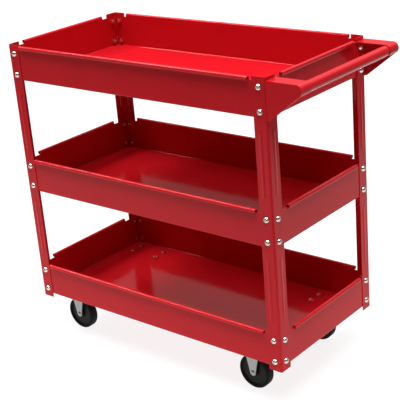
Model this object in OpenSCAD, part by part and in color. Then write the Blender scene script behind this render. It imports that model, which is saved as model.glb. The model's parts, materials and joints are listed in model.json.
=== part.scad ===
// Three-shelf tool cart: folded sheet trays bolted to four angle legs, a push handle
// on two brackets, rigid casters at the plain end and swivel casters at the handle end.
// Origin: on the ground, under the middle of the overall box. +X towards the handle.

/* [Trays] */
// Length of a tray over its end walls
tray_l = 720; // [600:5:900]
// Width of a tray over its long walls
tray_w = 352; // [300:2:460]
// Height of a tray from its underside to the top of its rolled rim
tray_h = 82; // [74:1:120]
// Step from one tray to the next
tray_pitch = 272; // [200:5:340]
// Thickness of the tray sheet
tray_sheet = 1.2; // [0.8:0.1:2]
// Outside radius of the fold between floor and wall
fold_r = 3; // [2.5:0.5:5]
// Outside diameter of the rolled rim
rim_d = 9; // [6:0.5:10]
// Plain wall between a tray's corner and the end of its rolled rim, on the long walls
rim_setback = 38; // [36:1:60]
// The same on the end walls
rim_setback_end = 47; // [36:1:60]
// Clearance between a wall's end and the inside of a leg's bend
corner_gap = 1; // [0.5:0.5:3]
// Depth of the notch beside each leg, below the top of the rim
notch_depth = 8; // [6:0.5:10]

/* [Legs] */
// Width of each flange of a leg, over its bend
leg_flange = 32; // [30:1:34]
// Thickness of the leg sheet
leg_sheet = 1.5; // [1:0.1:2.5]
// Outside radius of the leg's bend
leg_bend_r = 4.5; // [3.5:0.5:6]
// Height of the leg above the top tray's rim
leg_above = 0.8; // [0:0.2:5]
// Depth of the leg below the bottom tray
leg_below = 8.5; // [5:0.5:12]
// Width of the stiffening rib pressed into each flange
rib_w = 9; // [6:0.5:10]
// Height of the rib
rib_h = 0.9; // [0.6:0.1:1.4]
// Plain length of flange between a tray and the end of a rib
rib_inset = 24; // [15:1:40]

/* [Handle] */
// Distance that the handle reaches beyond the legs
handle_reach = 82; // [70:1:120]
// Outside diameter of the handle bar
handle_d = 22; // [18:1:28]
// Thickness of the handle bar's sheet
handle_sheet = 1.5; // [1:0.1:2.5]
// Thickness of the bracket sheet
bracket_sheet = 1.6; // [1.2:0.1:2.5]
// Height of the bracket where it meets the leg
bracket_h = 79; // [74:1:95]
// Width of the bracket's top flange
bracket_flange = 33; // [30:1:45]
// Depth of the bracket's top below the rim
bracket_drop = 6; // [2:0.5:8]

/* [Screws] */
// Diameter of the screw shanks
screw_d = 6; // [5:0.5:6.5]
// Diameter of the screw heads
screw_head_d = 13; // [10:0.5:14]
// Height of the screw heads
screw_head_h = 5; // [3:0.1:6]
// Height of the lower heads under the caster plates
caster_head_h = 3.8; // [3:0.1:4.4]
// Diameter of the clearance holes
screw_hole_d = 6.6; // [6.6:0.1:8]
// Width of the nuts across their flats
nut_af = 10; // [9:0.5:11]
// Height of the nuts
nut_h = 5; // [4:0.5:5]
// Distance from the leg's outer face to its column of screws
screw_edge = 17; // [15:0.5:18]
// Depth of the upper screws below the rim
screw_drop = 20; // [18:0.5:26]
// Step from the upper to the lower screws
screw_pitch = 49.5; // [40:0.5:50]

/* [Casters] */
// Diameter of the wheels
wheel_d = 80; // [65:1:82]
// Width of the tyres
wheel_w = 20; // [18:1:28]
// Height of a caster from the ground to the top of its plate
caster_h = 100; // [98:1:115]
// Distance from a tray's end to the middle of a caster plate
caster_inset_x = 76; // [70:1:110]
// Distance from a tray's side to the middle of a caster plate
caster_inset_y = 50; // [46:1:70]
// Length of a caster plate
plate_l = 98; // [96:1:104]
// Width of a caster plate
plate_w = 54; // [54:1:62]
// Spacing of the plate's screws along the cart
plate_pitch_x = 80; // [78:1:84]
// Spacing of the plate's screws across the cart
plate_pitch_y = 34; // [30:1:38]
// Thickness of the plates and forks
caster_sheet = 2.5; // [2:0.1:3]
// Distance that a swivel caster's axle trails behind its kingpin
trail = 30; // [20:1:32]
// Diameter of the axle bolts
axle_d = 6; // [5:0.5:7]
// Diameter of the kingpins
kingpin_d = 11; // [9:0.5:12]
// Diameter of the swivel's balls
ball_d = 5; // [4:0.5:5]

/* [Hidden] */
FINE = 48;
EPS = 0.01;
BIG = 2000;

RUN_GAP = 0.05;    // radial running fit of a turning piece on its pin
SIDE_GAP = 0.5;    // between the wheel's hub and each fork leg
SEAT_GAP = 0.03;   // between a riveted kingpin and its hole
BALL_GAP = 0.08;   // between a ball and its track
THREAD_GAP = 0.05; // between a screw and its nut's bore
BAR_GAP = 0.1;     // between the handle bar and the bracket's nose

SIDES = [-1, 1];
TRAYS = [0, 1, 2]; // bottom, middle, top

// trays
rim_r = rim_d / 2;
tray_z0 = caster_h;                           // underside of the bottom tray
wall_plain_h = tray_h - notch_depth;          // wall height at the notches
wall_end = leg_bend_r - leg_sheet + corner_gap; // from the tray's corner to the end of a wall
tab_end = leg_flange - leg_sheet - 2;         // end of the corner tab, from the tray's corner
tab_drop = 2;                                 // top of the corner tab below the rim
rim_seam = [186, 232];                        // angles between which the rolled rim stays open

// legs
leg_face_x = tray_l / 2 + leg_sheet;          // outer faces of the legs, from the trays' middle
leg_face_y = tray_w / 2 + leg_sheet;
leg_z0 = tray_z0 - leg_below;
leg_z1 = tray_z0 + 2 * tray_pitch + tray_h + leg_above;

// handle
nose_r = handle_d / 2 + BAR_GAP + bracket_sheet;
bracket_z = tray_z0 + 2 * tray_pitch + tray_h - bracket_drop;
bar_x = leg_face_x + handle_reach - nose_r;
bar_z = bracket_z - nose_r;
bar_l = 2 * (leg_face_y - bracket_sheet);
nose_end = -50;                               // angle at which the bracket's curl ends
bar_seam = [206, 268];                        // angles between which the bar stays open
hem_r = 1.5;                                  // rolled hem along the bar's lower edge
bracket_foot = 5;                             // length of the bracket's bottom edge
bracket_step = 2;                             // how much the back flange is narrower than the top one
nose_bite = 0.3;                              // how far the sloping edge runs inside the nose's round

// the trays sit off the origin, because the handle reaches past one end only
rim_out = 2 * rim_r - tray_sheet;             // how far the rim stands out of the wall
cart_x = -(leg_face_x + handle_reach - tray_l / 2 - rim_out) / 2;

// screws
recess_w = 1.2;
recess_l = 6.4;
recess_depth = 1.8;
screw_spare = 1.6;                            // thread that shows beyond a nut in a wall
floor_spare = 2.6;                            // thread that shows above a nut on the floor
nut_chamfer = 0.8;
nut_chamfer_h = 0.5;

// casters
plate_z = caster_h - caster_sheet;            // underside of a caster's plate
plate_corner_r = 6;
axle_z = wheel_d / 2;
hub_l = wheel_w + 3;
fork_gap = hub_l + 2 * SIDE_GAP;              // inside the fork's legs
fork_y = fork_gap / 2;
tip_r = 7.5;                                  // round end of a fork leg
shoulder_h = plate_z - 10 - axle_z;           // height of a fork leg's shoulders above the axle
shoulder_half = 18;                           // half width of a fork leg at its shoulders
root_half = 24;                               // half width of a rigid fork leg under its plate
sleeve_r = axle_d / 2 + 2;
hub_r = 10;
core_r = wheel_d / 2 - 7;                     // outside of the wheel's core
face_half = wheel_w / 2 - 2;                  // half thickness of the core's flat faces
ring_r = core_r - 2.5;                        // inside of the raised ring round each face
race_r = 17;                                  // pitch radius of the balls
race_h = 3;                                   // depth of the race ring below the plate
race_half = 5.5;
race_sink = 2;                                // how far a ball sits inside the race
crown_sink = 1.4;                             // how far a ball sits inside the crown
balls = 14;
groove_r = ball_d / 2 + BALL_GAP;
ball_z = plate_z - race_h + race_sink - ball_d / 2;
crown_z = ball_z - ball_d / 2 + crown_sink - BALL_GAP; // top of the fork's crown
crown_r = 25;
crown_edge = 4;                               // depth of the crown's turned edge over the kingpin
pin_head_r = 9;
pin_head_h = 3;
axle_head_r = 6;
axle_head_h = 2.6;
axle_spare = 1.4;
shoulder_r = 3;                               // round of the tyre's shoulders
tyre_groove_r = 1;                            // moulded ring in the tyre's sides

RED = "#b3141c";
ZINC = "#c3c6c4";
BLACK = "#1c1c1d";

// ---------------------------------------------------------------- shared shapes

// A sector of a ring in its plane, between two angles
module ring_arc(r_out, r_in, from, to) {
  span = to - from;
  far = 3 * r_out;
  difference() {
    intersection() {
      circle(r = r_out, $fn = FINE);
      polygon(concat([[0, 0]], [for (i = [0:6]) far * [cos(from + i * span / 6), sin(from + i * span / 6)]]));
    }
    circle(r = r_in, $fn = FINE);
  }
}

// Stands a drawing in X and Z, and extrudes it along Y about y = 0
module across(length) {
  rotate([90, 0, 0]) linear_extrude(length, center = true) children();
}

// Turns a piece made on +Z so that it points along a horizontal direction
module facing(direction) {
  rotate([0, 0, direction]) rotate([0, 90, 0]) children();
}

// Domed head of radius r, standing h above z = 0
module dome(r, h) {
  ball_r = (pow(r, 2) + pow(h, 2)) / (2 * h);
  rotate_extrude($fn = FINE) intersection() {
    translate([0, h - ball_r]) circle(r = ball_r, $fn = 2 * FINE);
    square([r, h]);
  }
}

// Domed screw with a cross recess: underside of the head at z = 0, shank towards -Z
module screw(grip, head_h) {
  difference() {
    union() {
      dome(screw_head_d / 2, head_h);
      translate([0, 0, -grip]) cylinder(r = screw_d / 2, h = grip + EPS, $fn = FINE);
    }
    for (turn = [0, 90]) rotate([0, 0, turn + 45])
      translate([-recess_l / 2, -recess_w / 2, head_h - recess_depth])
        cube([recess_l, recess_w, head_h]);
  }
}

// Hexagon nut with chamfered corners, from z = 0 towards -Z
module nut(across_flats, height, bore_r) {
  corner_r = across_flats / 2 / cos(30);
  translate([0, 0, -height]) difference() {
    intersection() {
      cylinder(r = corner_r, h = height, $fn = 6);
      rotate_extrude($fn = FINE) polygon([
        [0, 0], [corner_r - nut_chamfer, 0], [corner_r, nut_chamfer_h],
        [corner_r, height - nut_chamfer_h], [corner_r - nut_chamfer, height], [0, height]
      ]);
    }
    translate([0, 0, -1]) cylinder(r = bore_r, h = height + 2, $fn = FINE);
  }
}

// ---------------------------------------------------------------- trays

// Section of one wall: x = 0 on its outer face, z = 0 on the tray's underside
module wall_section(height) {
  translate([-fold_r, fold_r]) ring_arc(fold_r, fold_r - tray_sheet, -90, 0);
  translate([-tray_sheet, fold_r - EPS]) square([tray_sheet, height - fold_r + EPS]);
}

module rim_section() {
  translate([-tray_sheet, wall_plain_h - EPS]) square([tray_sheet, notch_depth - rim_r + EPS]);
  translate([rim_r - tray_sheet, tray_h - rim_r]) difference() {
    circle(r = rim_r, $fn = FINE);
    circle(r = rim_r - tray_sheet, $fn = FINE);
    polygon([[0, 0], 2 * rim_d * [cos(rim_seam[0]), sin(rim_seam[0])],
             2 * rim_d * [cos(rim_seam[1]), sin(rim_seam[1])]]);
  }
}

// One wall of a tray, running along Y with its outer face at x = 0
module tray_wall(length, setback) {
  tab_l = tab_end - wall_end;
  across(length - 2 * wall_end) wall_section(wall_plain_h);
  across(length - 2 * setback) rim_section();
  for (side = SIDES)
    translate([-tray_sheet, side * (length / 2 - wall_end - tab_l / 2) - tab_l / 2, wall_plain_h - EPS])
      cube([tray_sheet, tab_l, notch_depth - tab_drop + EPS]);
}

module tray_shell() {
  translate([-tray_l / 2 + fold_r - EPS, -tray_w / 2 + fold_r - EPS, 0])
    cube([tray_l - 2 * fold_r + 2 * EPS, tray_w - 2 * fold_r + 2 * EPS, tray_sheet]);
  for (side = SIDES) {
    rotate([0, 0, side < 0 ? 180 : 0]) translate([tray_l / 2, 0, 0])
      tray_wall(tray_w, rim_setback_end);
    rotate([0, 0, side * 90]) translate([tray_w / 2, 0, 0]) tray_wall(tray_l, rim_setback);
  }
}

// Puts a piece at each screw of one tray: its outer leg face at the origin, pointing along +Z
module at_leg_screws(level, ends = SIDES, on_end = true, on_side = true) {
  for (sx = ends, sy = SIDES, drop = [screw_drop, screw_drop + screw_pitch]) {
    z = tray_z0 + level * tray_pitch + tray_h - drop;
    if (on_end)
      translate([sx * leg_face_x, sy * (leg_face_y - screw_edge), z]) facing(sx < 0 ? 180 : 0) children();
    if (on_side)
      translate([sx * (leg_face_x - screw_edge), sy * leg_face_y, z]) facing(sy * 90) children();
  }
}

module at_caster_screws() {
  for (sx = SIDES, sy = SIDES, px = SIDES, py = SIDES)
    translate([
      sx * (tray_l / 2 - caster_inset_x) + px * plate_pitch_x / 2,
      sy * (tray_w / 2 - caster_inset_y) + py * plate_pitch_y / 2,
      tray_z0 + tray_sheet
    ]) children();
}

module screw_hole() {
  translate([0, 0, -30]) cylinder(r = screw_hole_d / 2, h = 40, $fn = FINE);
}

module tray(level) {
  color(RED) translate([cart_x, 0, 0]) difference() {
    translate([0, 0, tray_z0 + level * tray_pitch]) tray_shell();
    at_leg_screws(level) screw_hole();
    if (level == 0) at_caster_screws() screw_hole();
  }
}

// ---------------------------------------------------------------- legs

module leg_section() {
  translate([leg_bend_r, 0]) square([leg_flange - leg_bend_r, leg_sheet]);
  translate([0, leg_bend_r]) square([leg_sheet, leg_flange - leg_bend_r]);
  translate([leg_bend_r, leg_bend_r]) ring_arc(leg_bend_r, leg_bend_r - leg_sheet, 180, 270);
}

// A long round-ended bar whose top stands rib_h above the plane y = 0, towards -Y
module rib_form(length) {
  r = (pow(rib_w / 2, 2) + pow(rib_h, 2)) / (2 * rib_h);
  end = sqrt(pow(r, 2) - pow(r - rib_h, 2));
  translate([0, r - rib_h, 0]) rotate_extrude($fn = FINE) intersection() {
    union() {
      translate([0, end]) circle(r = r, $fn = 2 * FINE);
      translate([0, length - end]) circle(r = r, $fn = 2 * FINE);
      translate([0, end]) square([r, length - 2 * end]);
    }
    translate([0, -BIG / 2]) square([BIG, BIG]);
  }
}

module leg_flange_rib(level, hollow) {
  z = tray_z0 + level * tray_pitch + tray_h + rib_inset;
  length = tray_pitch - tray_h - 2 * rib_inset;
  middle = (leg_bend_r + leg_flange) / 2;
  translate([middle, hollow ? leg_sheet : 0, z]) intersection() {
    rib_form(length);
    translate([-rib_w, hollow ? -leg_sheet - EPS : -rib_h - 1, -20])
      cube([2 * rib_w, hollow ? leg_sheet + EPS : rib_h + 1 + EPS, length + 40]);
  }
}

// Both flanges take the same rib, one mirrored across the bend's diagonal
module on_both_flanges() {
  children();
  mirror([1, -1, 0]) children();
}

module leg_angle() {
  difference() {
    union() {
      translate([0, 0, leg_z0]) linear_extrude(leg_z1 - leg_z0) leg_section();
      on_both_flanges() for (level = [0, 1]) leg_flange_rib(level, false);
    }
    on_both_flanges() for (level = [0, 1]) leg_flange_rib(level, true);
  }
}

module leg(sx, sy) {
  color(RED) translate([cart_x, 0, 0]) difference() {
    mirror([sx < 0 ? 0 : 1, 0, 0]) mirror([0, sy < 0 ? 0 : 1, 0])
      translate([-leg_face_x, -leg_face_y, 0]) leg_angle();
    for (level = TRAYS) at_leg_screws(level) screw_hole();
  }
}

// ---------------------------------------------------------------- handle

// Outline of the bracket's side plate: x from the leg's face, z from the bracket's top
module bracket_outline() {
  nose = [handle_reach - nose_r, -nose_r];
  foot = [bracket_foot, -bracket_h];
  edge_r = nose_r - nose_bite;
  slope = atan2(nose[1] - foot[1], nose[0] - foot[0]) - asin(edge_r / norm(nose - foot));
  touch = foot + sqrt(pow(norm(nose - foot), 2) - pow(edge_r, 2)) * [cos(slope), sin(slope)];
  polygon([[0, 0], [nose[0], 0], nose, touch, foot, [0, -bracket_h]]);
  translate(nose) circle(r = nose_r, $fn = FINE);
}

// Section through the bracket's top flange and the curl round the bar
module bracket_top_section() {
  translate([0, -bracket_sheet]) square([handle_reach - nose_r, bracket_sheet]);
  translate([handle_reach - nose_r, -nose_r]) ring_arc(nose_r, nose_r - bracket_sheet, nose_end, 90);
}

module bracket_shell() {
  inside_w = bracket_flange - bracket_sheet;
  translate([0, bracket_sheet / 2, 0]) across(bracket_sheet) bracket_outline();
  translate([0, bracket_sheet + inside_w / 2, 0]) across(inside_w) bracket_top_section();
  translate([0, bracket_sheet, -bracket_h]) cube([bracket_sheet, inside_w - bracket_step, bracket_h - bracket_sheet]);
}

module handle_bracket(sy) {
  color(RED) translate([cart_x, 0, 0]) difference() {
    mirror([0, sy < 0 ? 0 : 1, 0]) translate([leg_face_x, -leg_face_y, bracket_z]) bracket_shell();
    at_leg_screws(2, [1], true, false) screw_hole();
  }
}

module handle_bar() {
  r = handle_d / 2;
  color(RED) translate([cart_x + bar_x, 0, bar_z]) {
    across(bar_l) ring_arc(r, r - handle_sheet, bar_seam[1] - 360, bar_seam[0]);
    translate([0, 0, -r - hem_r + handle_sheet]) across(bar_l - 2 * bracket_flange) translate([hem_r / 2, 0])
      circle(r = hem_r, $fn = FINE);
  }
}

// ---------------------------------------------------------------- screws and nuts

// The bracket's back flange is one more sheet under the heads of four screws
function stack(level, sx, on_end) =
  leg_sheet + tray_sheet + (level == 2 && sx > 0 && on_end ? bracket_sheet : 0);

module tray_screws(level) {
  color(ZINC) translate([cart_x, 0, 0]) for (sx = SIDES, on_end = [false, true]) {
    lift = stack(level, sx, on_end) - leg_sheet - tray_sheet;
    at_leg_screws(level, [sx], on_end, !on_end)
      translate([0, 0, lift]) screw(stack(level, sx, on_end) + nut_h + screw_spare, screw_head_h);
  }
}

module tray_nuts(level) {
  color(ZINC) translate([cart_x, 0, 0])
    at_leg_screws(level) translate([0, 0, -leg_sheet - tray_sheet]) nut(nut_af, nut_h, screw_d / 2 + THREAD_GAP);
}

// The caster screws point up: heads under the plates, nuts on the tray's floor
module caster_screws() {
  grip = caster_sheet + tray_sheet;
  color(ZINC) translate([cart_x, 0, 0])
    at_caster_screws() translate([0, 0, -grip]) mirror([0, 0, 1])
      screw(grip + nut_h + floor_spare, caster_head_h);
}

module caster_nuts() {
  color(ZINC) translate([cart_x, 0, 0])
    at_caster_screws() translate([0, 0, nut_h]) nut(nut_af, nut_h, screw_d / 2 + THREAD_GAP);
}

// ---------------------------------------------------------------- casters

// Middle of a caster's plate, sx: -1 plain end or 1 handle end, sy: -1 front or 1 rear
function plate_x(sx) = cart_x + sx * (tray_l / 2 - caster_inset_x);
function plate_y(sy) = sy * (tray_w / 2 - caster_inset_y);
function axle_x(sx) = plate_x(sx) - (sx > 0 ? trail : 0);

module plate_outline() {
  square([plate_l - 2 * plate_corner_r, plate_w], center = true);
  square([plate_l, plate_w - 2 * plate_corner_r], center = true);
  for (px = SIDES, py = SIDES)
    translate([px * (plate_l / 2 - plate_corner_r), py * (plate_w / 2 - plate_corner_r)])
      circle(r = plate_corner_r, $fn = FINE);
}

module plate_holes() {
  for (px = SIDES, py = SIDES) translate([px * plate_pitch_x / 2, py * plate_pitch_y / 2, plate_z - 1])
    cylinder(r = screw_hole_d / 2, h = caster_sheet + 2, $fn = FINE);
}

// A fork leg's taper about its axle: round tip, straight sides, shoulders
module fork_taper() {
  lean = atan2(shoulder_half - tip_r, shoulder_h);
  circle(r = tip_r, $fn = FINE);
  polygon([
    [-tip_r * cos(lean), 0], [tip_r * cos(lean), 0], [shoulder_half, shoulder_h], [-shoulder_half, shoulder_h]
  ]);
}

module fork_legs() {
  for (side = SIDES) translate([0, side * (fork_y + caster_sheet / 2), axle_z])
    across(caster_sheet) {
      fork_taper();
      children();
    }
}

module axle_bore() {
  translate([0, 0, axle_z]) rotate([90, 0, 0])
    cylinder(r = axle_d / 2 + RUN_GAP, h = 4 * fork_gap, center = true, $fn = FINE);
}

module rigid_fork(sy) {
  root_z = plate_z - axle_z + EPS;
  color(ZINC) translate([plate_x(-1), plate_y(sy), 0]) difference() {
    union() {
      translate([0, 0, plate_z]) linear_extrude(caster_sheet) plate_outline();
      fork_legs() polygon([
        [-shoulder_half, shoulder_h], [shoulder_half, shoulder_h], [root_half, root_z], [-root_half, root_z]
      ]);
    }
    plate_holes();
    axle_bore();
  }
}

module swivel_plate(sy) {
  color(ZINC) translate([plate_x(1), plate_y(sy), 0]) difference() {
    union() {
      translate([0, 0, plate_z]) linear_extrude(caster_sheet) plate_outline();
      translate([0, 0, plate_z - race_h]) cylinder(r = race_r + race_half, h = race_h + EPS, $fn = FINE);
    }
    translate([0, 0, plate_z - race_h - 1]) cylinder(r = race_r - race_half, h = race_h + 1, $fn = FINE);
    translate([0, 0, plate_z - 1]) cylinder(r = kingpin_d / 2 + SEAT_GAP, h = caster_sheet + 2, $fn = FINE);
    translate([0, 0, ball_z]) rotate_extrude($fn = FINE) translate([race_r, 0]) circle(r = groove_r, $fn = FINE);
    plate_holes();
  }
}

module swivel_kingpin(sy) {
  shank_z = crown_z - caster_sheet - SIDE_GAP;
  color(ZINC) translate([plate_x(1), plate_y(sy), 0]) {
    translate([0, 0, shank_z - EPS]) cylinder(r = kingpin_d / 2, h = caster_h - shank_z + EPS, $fn = FINE);
    translate([0, 0, shank_z]) mirror([0, 0, 1]) dome(pin_head_r, pin_head_h);
  }
}

module swivel_balls(sy) {
  color(ZINC) translate([plate_x(1), plate_y(sy), ball_z])
    for (i = [0:balls - 1]) rotate([0, 0, i * 360 / balls]) translate([race_r, 0, 0])
      sphere(r = ball_d / 2, $fn = FINE);
}

module swivel_fork(sy) {
  crown_h = crown_z - axle_z;
  far = trail + shoulder_half;
  color(ZINC) translate([plate_x(1), plate_y(sy), 0]) difference() {
    union() {
      translate([0, 0, crown_z - caster_sheet]) cylinder(r = crown_r, h = caster_sheet, $fn = FINE);
      translate([-trail - shoulder_half, -fork_y - EPS, crown_z - caster_sheet])
        cube([trail + shoulder_half, 2 * fork_y + 2 * EPS, caster_sheet]);
      translate([-trail, 0, 0]) fork_legs() polygon([
        [-shoulder_half, shoulder_h], [shoulder_half, shoulder_h], [far, crown_h - crown_edge],
        [far, crown_h], [-shoulder_half, crown_h]
      ]);
    }
    translate([0, 0, ball_z]) rotate_extrude($fn = FINE) translate([race_r, 0]) circle(r = groove_r, $fn = FINE);
    translate([0, 0, crown_z - 20]) cylinder(r = kingpin_d / 2 + RUN_GAP, h = 30, $fn = FINE);
    translate([-trail, 0, 0]) axle_bore();
  }
}

// Places a piece made on +Y about the axle of one wheel
module at_axle(sx, sy) {
  translate([axle_x(sx), plate_y(sy), axle_z]) rotate([-90, 0, 0]) children();
}

// Domed bolt whose head faces away from the middle of the cart
module axle(sx, sy) {
  grip_y = fork_y + caster_sheet;
  color(ZINC) at_axle(sx, sy) mirror([0, 0, sy > 0 ? 0 : 1]) {
    translate([0, 0, grip_y]) dome(axle_head_r, axle_head_h);
    translate([0, 0, -grip_y - nut_h - axle_spare])
      cylinder(r = axle_d / 2, h = 2 * grip_y + nut_h + axle_spare + EPS, $fn = FINE);
  }
}

module axle_nut(sx, sy) {
  color(ZINC) at_axle(sx, sy) mirror([0, 0, sy > 0 ? 0 : 1])
    translate([0, 0, -fork_y - caster_sheet]) nut(nut_af, nut_h, axle_d / 2 + THREAD_GAP);
}

module sleeve(sx, sy) {
  color(ZINC) at_axle(sx, sy) difference() {
    cylinder(r = sleeve_r, h = fork_gap, center = true, $fn = FINE);
    cylinder(r = axle_d / 2 + RUN_GAP, h = fork_gap + 2, center = true, $fn = FINE);
  }
}

module wheel_core(sx, sy) {
  bore_r = sleeve_r + RUN_GAP;
  web = face_half - 1;
  half = [
    [bore_r, hub_l / 2], [hub_r, hub_l / 2], [hub_r + 1.5, web], [ring_r - 1, web],
    [ring_r, face_half], [core_r, face_half]
  ];
  color(BLACK) at_axle(sx, sy) rotate_extrude($fn = 2 * FINE)
    polygon(concat(half, [for (i = [len(half) - 1:-1:0]) [half[i][0], -half[i][1]]]));
}

module tyre(sx, sy) {
  r = wheel_d / 2;
  color(BLACK) at_axle(sx, sy) rotate_extrude($fn = 2 * FINE) difference() {
    union() {
      translate([core_r, -wheel_w / 2 + shoulder_r]) square([r - core_r, wheel_w - 2 * shoulder_r]);
      translate([core_r, -wheel_w / 2]) square([r - core_r - shoulder_r, wheel_w]);
      for (side = SIDES) translate([r - shoulder_r, side * (wheel_w / 2 - shoulder_r)])
        circle(r = shoulder_r, $fn = FINE);
    }
    for (side = SIDES) translate([core_r + 2, side * wheel_w / 2])
      circle(r = tyre_groove_r, $fn = FINE);
  }
}

// ---------------------------------------------------------------- nodes

tray(2);  // top_tray
tray(1);  // middle_tray
tray(0);  // bottom_tray
leg(-1, -1);  // front_left_leg
leg(1, -1);  // front_right_leg
leg(-1, 1);  // rear_left_leg
leg(1, 1);  // rear_right_leg
handle_bracket(-1);  // front_handle_bracket
handle_bracket(1);  // rear_handle_bracket
handle_bar();
tray_screws(2);  // top_tray_screws
tray_screws(1);  // middle_tray_screws
tray_screws(0);  // bottom_tray_screws
tray_nuts(2);  // top_tray_nuts
tray_nuts(1);  // middle_tray_nuts
tray_nuts(0);  // bottom_tray_nuts
caster_screws();
caster_nuts();
rigid_fork(-1);  // front_rigid_fork
axle(-1, -1);  // front_rigid_axle
axle_nut(-1, -1);  // front_rigid_axle_nut
sleeve(-1, -1);  // front_rigid_sleeve
wheel_core(-1, -1);  // front_rigid_wheel_core
tyre(-1, -1);  // front_rigid_tyre
rigid_fork(1);  // rear_rigid_fork
axle(-1, 1);  // rear_rigid_axle
axle_nut(-1, 1);  // rear_rigid_axle_nut
sleeve(-1, 1);  // rear_rigid_sleeve
wheel_core(-1, 1);  // rear_rigid_wheel_core
tyre(-1, 1);  // rear_rigid_tyre
swivel_plate(-1);  // front_swivel_plate
swivel_kingpin(-1);  // front_swivel_kingpin
swivel_balls(-1);  // front_swivel_balls
swivel_fork(-1);  // front_swivel_fork
axle(1, -1);  // front_swivel_axle
axle_nut(1, -1);  // front_swivel_axle_nut
sleeve(1, -1);  // front_swivel_sleeve
wheel_core(1, -1);  // front_swivel_wheel_core
tyre(1, -1);  // front_swivel_tyre
swivel_plate(1);  // rear_swivel_plate
swivel_kingpin(1);  // rear_swivel_kingpin
swivel_balls(1);  // rear_swivel_balls
swivel_fork(1);  // rear_swivel_fork
axle(1, 1);  // rear_swivel_axle
axle_nut(1, 1);  // rear_swivel_axle_nut
sleeve(1, 1);  // rear_swivel_sleeve
wheel_core(1, 1);  // rear_swivel_wheel_core
tyre(1, 1);  // rear_swivel_tyre
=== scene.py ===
"""Three-shelf steel tool cart: red powder-coated sheet trays on angle legs, zinc-plated
screws and casters, black wheels, on a lit white table."""

import json
import math

import bpy
from mathutils import Matrix, Vector

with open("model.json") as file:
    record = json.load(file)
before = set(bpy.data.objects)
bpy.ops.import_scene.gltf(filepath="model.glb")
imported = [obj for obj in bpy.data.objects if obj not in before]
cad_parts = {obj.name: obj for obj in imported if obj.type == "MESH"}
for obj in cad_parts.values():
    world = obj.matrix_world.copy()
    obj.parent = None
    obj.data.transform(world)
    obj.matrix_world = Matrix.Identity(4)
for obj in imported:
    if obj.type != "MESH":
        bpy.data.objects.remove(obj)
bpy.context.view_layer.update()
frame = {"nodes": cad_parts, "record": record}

MM = 0.001

# ------------------------------------------------------------------ camera

VIEW_AZIMUTH = 40.98      # degrees, from -Y towards +X
VIEW_ELEVATION = 21.44
VIEW_ROLL = -4.88
VIEW_DISTANCE = 2.465     # metres, from the point that the camera turns about
VIEW_TARGET = Vector((-0.0157, 0.0, 0.3532))
SENSOR_MM = 36.0
LENS_MM = 96.3
CLIP_END_M = 200.0


def place_camera():
    azimuth, elevation, roll = (math.radians(a) for a in (VIEW_AZIMUTH, VIEW_ELEVATION, VIEW_ROLL))
    back = Vector((
        math.sin(azimuth) * math.cos(elevation),
        -math.cos(azimuth) * math.cos(elevation),
        math.sin(elevation),
    ))
    level = Vector((math.cos(azimuth), math.sin(azimuth), 0.0))
    upright = back.cross(level)
    right = level * math.cos(roll) + upright * math.sin(roll)
    up = upright * math.cos(roll) - level * math.sin(roll)
    data = bpy.data.cameras.new("studio_camera")
    data.sensor_width = SENSOR_MM
    data.lens = LENS_MM
    data.clip_end = CLIP_END_M
    camera = bpy.data.objects.new("studio_camera", data)
    turned = Matrix((right, up, back)).transposed().to_4x4()
    camera.matrix_world = Matrix.Translation(VIEW_TARGET + back * VIEW_DISTANCE) @ turned
    bpy.context.scene.collection.objects.link(camera)
    bpy.context.scene.camera = camera
    return back


# ------------------------------------------------------------------ finishes


def paint(hex_colour):
    """An sRGB hex colour as linear light, with alpha."""
    channels = [int(hex_colour[i:i + 2], 16) / 255 for i in (1, 3, 5)]
    return tuple(c / 12.92 if c <= 0.04045 else ((c + 0.055) / 1.055) ** 2.4 for c in channels) + (1.0,)


def add(tree, kind, settings):
    """Adds a node. A lower-case key is one of its properties, any other key one of its inputs,
    and an input takes either a value or another node's output."""
    made = tree.nodes.new(kind)
    for key, value in settings.items():
        if isinstance(key, str) and key.islower():
            setattr(made, key, value)
        elif isinstance(value, bpy.types.NodeSocket):
            tree.links.new(value, made.inputs[key])
        else:
            made.inputs[key].default_value = value
    return made


def new_finish(name):
    finish = bpy.data.materials.new(name)
    finish.use_nodes = True
    finish.node_tree.nodes.clear()
    place = add(finish.node_tree, "ShaderNodeTexCoord", {}).outputs["Object"]
    return finish, finish.node_tree, place


def waves_per_metre(size_mm):
    """Noise scale for a pattern whose features are about size_mm across."""
    return 1.0 / (size_mm * MM)


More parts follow.
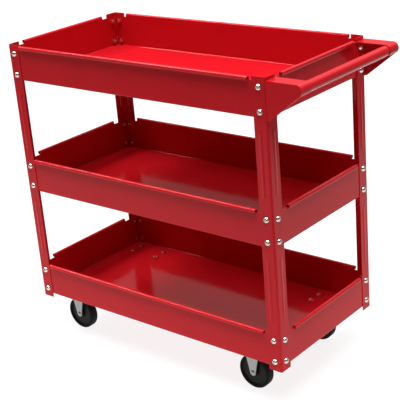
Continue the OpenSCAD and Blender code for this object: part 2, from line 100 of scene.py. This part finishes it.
def red_powder_coat():
    """Polyester powder coat, sprayed and stoved on degreased sheet steel: a deep gloss with a
    slight orange peel, so reflections wobble, and a little less gloss where it has been handled."""
    finish, tree, place = new_finish("red_powder_coat")
    film = add(tree, "ShaderNodeTexNoise", {"Vector": place, "Scale": waves_per_metre(90), "Detail": 3.0})
    colour = add(tree, "ShaderNodeMix", {
        "data_type": "RGBA", "Factor": film.outputs["Fac"],
        "A": paint("#be131d"), "B": paint("#c91923"),
    })
    wiped = add(tree, "ShaderNodeTexNoise", {
        "Vector": place, "Scale": waves_per_metre(35), "Detail": 6.0, "Roughness": 0.65,
    })
    gloss = add(tree, "ShaderNodeMapRange", {
        "Value": wiped.outputs["Fac"], "From Min": 0.35, "From Max": 0.7, "To Min": 0.08, "To Max": 0.16,
    })
    peel = add(tree, "ShaderNodeTexNoise", {"Vector": place, "Scale": waves_per_metre(4), "Detail": 2.0})
    surface = add(tree, "ShaderNodeBump", {
        "Height": peel.outputs["Fac"], "Strength": 0.35, "Distance": 0.05 * MM,
    })
    shader = add(tree, "ShaderNodeBsdfPrincipled", {
        "Base Color": colour.outputs["Result"], "Roughness": gloss.outputs["Result"],
        "IOR": 1.5, "Specular IOR Level": 0.14, "Normal": surface.outputs["Normal"],
    })
    add(tree, "ShaderNodeOutputMaterial", {"Surface": shader.outputs["BSDF"]})
    return finish


def bright_zinc():
    """Bright zinc plate on steel screws and nuts: a cool, clean metal, slightly clouded by its
    clear passivation."""
    finish, tree, place = new_finish("bright_zinc")
    cloud = add(tree, "ShaderNodeTexNoise", {"Vector": place, "Scale": waves_per_metre(5), "Detail": 4.0})
    colour = add(tree, "ShaderNodeMix", {
        "data_type": "RGBA", "Factor": cloud.outputs["Fac"],
        "A": paint("#ddd6ca"), "B": paint("#f1eadf"),
    })
    gloss = add(tree, "ShaderNodeMapRange", {
        "Value": cloud.outputs["Fac"], "To Min": 0.16, "To Max": 0.34,
    })
    grain = add(tree, "ShaderNodeTexNoise", {"Vector": place, "Scale": waves_per_metre(0.5), "Detail": 3.0})
    surface = add(tree, "ShaderNodeBump", {
        "Height": grain.outputs["Fac"], "Strength": 0.3, "Distance": 0.03 * MM,
    })
    shader = add(tree, "ShaderNodeBsdfPrincipled", {
        "Base Color": colour.outputs["Result"], "Metallic": 1.0, "Roughness": gloss.outputs["Result"],
        "Normal": surface.outputs["Normal"],
    })
    add(tree, "ShaderNodeOutputMaterial", {"Surface": shader.outputs["BSDF"]})
    return finish


def dull_zinc():
    """Barrel-plated zinc on pressed steel forks and plates: greyer and rougher than the screws,
    with faint spangled patches and rubbing marks from the barrel."""
    finish, tree, place = new_finish("dull_zinc")
    patches = add(tree, "ShaderNodeTexVoronoi", {
        "Vector": place, "Scale": waves_per_metre(6), "Randomness": 1.0,
    })
    cloud = add(tree, "ShaderNodeTexNoise", {"Vector": place, "Scale": waves_per_metre(14), "Detail": 5.0})
    tone = add(tree, "ShaderNodeMix", {
        "data_type": "FLOAT", "Factor": 0.3, "A": cloud.outputs["Fac"], "B": patches.outputs["Color"],
    })
    colour = add(tree, "ShaderNodeMix", {
        "data_type": "RGBA", "Factor": tone.outputs["Result"],
        "A": paint("#8f9390"), "B": paint("#abafab"),
    })
    gloss = add(tree, "ShaderNodeMapRange", {
        "Value": tone.outputs["Result"], "To Min": 0.34, "To Max": 0.55,
    })
    rubs = add(tree, "ShaderNodeTexNoise", {"Vector": place, "Scale": waves_per_metre(0.8), "Detail": 4.0})
    surface = add(tree, "ShaderNodeBump", {
        "Height": rubs.outputs["Fac"], "Strength": 0.4, "Distance": 0.04 * MM,
    })
    shader = add(tree, "ShaderNodeBsdfPrincipled", {
        "Base Color": colour.outputs["Result"], "Metallic": 1.0, "Roughness": gloss.outputs["Result"],
        "Normal": surface.outputs["Normal"],
    })
    add(tree, "ShaderNodeOutputMaterial", {"Surface": shader.outputs["BSDF"]})
    return finish


def black_polypropylene():
    """Injection-moulded black polypropylene wheel centre: satin, with a fine spark-eroded grain."""
    finish, tree, place = new_finish("black_polypropylene")
    flow = add(tree, "ShaderNodeTexNoise", {"Vector": place, "Scale": waves_per_metre(25), "Detail": 2.0})
    colour = add(tree, "ShaderNodeMix", {
        "data_type": "RGBA", "Factor": flow.outputs["Fac"],
        "A": paint("#0d0d0e"), "B": paint("#141415"),
    })
    grain = add(tree, "ShaderNodeTexNoise", {"Vector": place, "Scale": waves_per_metre(0.6), "Detail": 2.0})
    surface = add(tree, "ShaderNodeBump", {
        "Height": grain.outputs["Fac"], "Strength": 0.5, "Distance": 0.03 * MM,
    })
    gloss = add(tree, "ShaderNodeMapRange", {"Value": flow.outputs["Fac"], "To Min": 0.36, "To Max": 0.48})
    shader = add(tree, "ShaderNodeBsdfPrincipled", {
        "Base Color": colour.outputs["Result"], "Roughness": gloss.outputs["Result"],
        "IOR": 1.49, "Specular IOR Level": 0.15, "Normal": surface.outputs["Normal"],
    })
    add(tree, "ShaderNodeOutputMaterial", {"Surface": shader.outputs["BSDF"]})
    return finish


def black_rubber():
    """Moulded black rubber tread: matt, a little dusty where it meets the floor."""
    finish, tree, place = new_finish("black_rubber")
    dust = add(tree, "ShaderNodeTexNoise", {"Vector": place, "Scale": waves_per_metre(9), "Detail": 6.0})
    film = add(tree, "ShaderNodeMapRange", {
        "Value": dust.outputs["Fac"], "From Min": 0.45, "From Max": 0.8, "To Min": 0.0, "To Max": 0.5,
    })
    colour = add(tree, "ShaderNodeMix", {
        "data_type": "RGBA", "Factor": film.outputs["Result"],
        "A": paint("#0c0c0d"), "B": paint("#201f1e"),
    })
    grain = add(tree, "ShaderNodeTexNoise", {"Vector": place, "Scale": waves_per_metre(0.9), "Detail": 3.0})
    surface = add(tree, "ShaderNodeBump", {
        "Height": grain.outputs["Fac"], "Strength": 0.5, "Distance": 0.06 * MM,
    })
    gloss = add(tree, "ShaderNodeMapRange", {"Value": dust.outputs["Fac"], "To Min": 0.55, "To Max": 0.78})
    shader = add(tree, "ShaderNodeBsdfPrincipled", {
        "Base Color": colour.outputs["Result"], "Roughness": gloss.outputs["Result"],
        "IOR": 1.52, "Specular IOR Level": 0.15, "Normal": surface.outputs["Normal"],
    })
    add(tree, "ShaderNodeOutputMaterial", {"Surface": shader.outputs["BSDF"]})
    return finish


def dress_cart():
    finishes = {
        "red_powder_coat": red_powder_coat(),
        "bright_zinc": bright_zinc(),
        "dull_zinc": dull_zinc(),
        "wheel_core": black_polypropylene(),
        "tyre": black_rubber(),
    }
    for part in frame["record"]["subparts"]:
        mesh = frame["nodes"][part["node"]].data
        mesh.materials.clear()
        mesh.materials.append(finishes[part["material_slot"]])


# ------------------------------------------------------------------ studio

FLOOR_HALF_M = 40.0
TABLE_FRONT_M = 0.55      # from the middle of the cart to the table's front edge
TABLE_SIDE_M = 1.45       # and to its side edges
TABLE_FADE_M = 0.6        # width of the soft edge
TABLE_GLOW = 0.86
TABLE_PATCHES_MM = 333.333
SUN_STRENGTH = 4.0
SUN_SPREAD = 36.0         # degrees across, a wide soft source
SUN_LEAN = 14.0           # degrees from overhead, towards the camera
STRIP_STRENGTH = 1.2
STRIP_SPREAD = 17.0       # degrees across
STRIP_TOWARD = Vector((-0.62, -0.1, 0.78))
WHITE = (1.0, 1.0, 1.0, 1.0)
SKY_BACK = 1.6
SKY_FRONT = 0.07
SKY_TURN = (-0.35, 0.6)   # from the front to the back of the room, as a cosine
SKY_LOW = 0.22            # share of the sky's light that is left near the horizon
SKY_RISE = (0.36, 0.62)   # heights, as a sine, between which the sky comes up to full light


def level_part(direction):
    """The unit vector of a direction's horizontal part."""
    return Vector((direction.x, direction.y, 0.0)).normalized()


def lay_floor(back):
    """A lit, translucent white table under and behind the cart, on a darker studio floor that
    begins beyond its front and side edges."""
    mesh = bpy.data.meshes.new("studio_floor")
    corners = [(x * FLOOR_HALF_M, y * FLOOR_HALF_M, 0.0) for x, y in ((-1, -1), (1, -1), (1, 1), (-1, 1))]
    mesh.from_pydata(corners, [], [(0, 1, 2, 3)])
    floor = bpy.data.objects.new("studio_floor", mesh)
    bpy.context.scene.collection.objects.link(floor)
    finish, tree, place = new_finish("lit_table")
    forward = level_part(back)
    sideways = Vector((-forward.y, forward.x, 0.0))
    beyond = []
    for direction, edge_at in ((forward, TABLE_FRONT_M), (sideways, TABLE_SIDE_M), (-sideways, TABLE_SIDE_M)):
        along = add(tree, "ShaderNodeVectorMath", {"operation": "DOT_PRODUCT", 0: place, 1: direction})
        beyond.append(add(tree, "ShaderNodeMapRange", {
            "interpolation_type": "SMOOTHSTEP", "Value": along.outputs["Value"],
            "From Min": edge_at, "From Max": edge_at + TABLE_FADE_M,
        }).outputs["Result"])
    side = add(tree, "ShaderNodeMath", {"operation": "MAXIMUM", 0: beyond[1], 1: beyond[2]})
    off_table = add(tree, "ShaderNodeMath", {"operation": "MAXIMUM", 0: beyond[0], 1: side.outputs["Value"]})
    mottle = add(tree, "ShaderNodeTexNoise", {
        "Vector": place, "Scale": waves_per_metre(TABLE_PATCHES_MM), "Detail": 3.0,
    })
    table = add(tree, "ShaderNodeMix", {
        "data_type": "RGBA", "Factor": mottle.outputs["Fac"], "A": paint("#626261"), "B": paint("#666665"),
    })
    colour = add(tree, "ShaderNodeMix", {
        "data_type": "RGBA", "Factor": off_table.outputs["Value"],
        "A": table.outputs["Result"], "B": paint("#747473"),
    })
    glow = add(tree, "ShaderNodeMapRange", {
        "Value": off_table.outputs["Value"], "To Min": TABLE_GLOW, "To Max": 0.0,
    })
    shader = add(tree, "ShaderNodeBsdfPrincipled", {
        "Base Color": colour.outputs["Result"], "Roughness": 0.85,
        "Emission Color": WHITE, "Emission Strength": glow.outputs["Result"],
    })
    add(tree, "ShaderNodeOutputMaterial", {"Surface": shader.outputs["BSDF"]})
    mesh.materials.append(finish)


def hang_softbox(name, toward, strength, spread):
    light = bpy.data.lights.new(name, "SUN")
    light.energy = strength
    light.angle = math.radians(spread)
    box = bpy.data.objects.new(name, light)
    box.rotation_euler = toward.to_track_quat("Z", "Y").to_euler()
    bpy.context.scene.collection.objects.link(box)


def hang_lights(back):
    """A wide overhead source leaning to the front, a strip to the left that draws the highlights
    along the rolled rims, and a sky that is bright and high behind the cart and dim in front."""
    lean = level_part(back) * math.sin(math.radians(SUN_LEAN))
    toward = Vector((lean.x, lean.y, math.cos(math.radians(SUN_LEAN))))
    hang_softbox("overhead_softbox", toward, SUN_STRENGTH, SUN_SPREAD)
    hang_softbox("left_strip_box", STRIP_TOWARD, STRIP_STRENGTH, STRIP_SPREAD)

    world = bpy.data.worlds.new("studio_sky")
    world.use_nodes = True
    tree = world.node_tree
    tree.nodes.clear()
    direction = add(tree, "ShaderNodeTexCoord", {}).outputs["Generated"]
    facing = add(tree, "ShaderNodeVectorMath", {
        "operation": "DOT_PRODUCT", 0: direction, 1: level_part(-back),
    })
    level = add(tree, "ShaderNodeMapRange", {
        "interpolation_type": "SMOOTHSTEP", "Value": facing.outputs["Value"],
        "From Min": SKY_TURN[0], "From Max": SKY_TURN[1], "To Min": SKY_FRONT, "To Max": SKY_BACK,
    })
    height = add(tree, "ShaderNodeSeparateXYZ", {"Vector": direction})
    low = add(tree, "ShaderNodeMapRange", {
        "interpolation_type": "SMOOTHSTEP", "Value": height.outputs["Z"],
        "From Min": SKY_RISE[0], "From Max": SKY_RISE[1], "To Min": SKY_LOW, "To Max": 1.0,
    })
    strength = add(tree, "ShaderNodeMath", {
        "operation": "MULTIPLY", 0: level.outputs["Result"], 1: low.outputs["Result"],
    })
    sky = add(tree, "ShaderNodeBackground", {"Color": WHITE, "Strength": strength.outputs["Value"]})
    add(tree, "ShaderNodeOutputWorld", {"Surface": sky.outputs["Background"]})
    bpy.context.scene.world = world


# ------------------------------------------------------------------ making it

back = place_camera()
dress_cart()
lay_floor(back)
hang_lights(back)
bpy.context.scene.view_settings.view_transform = "Standard"
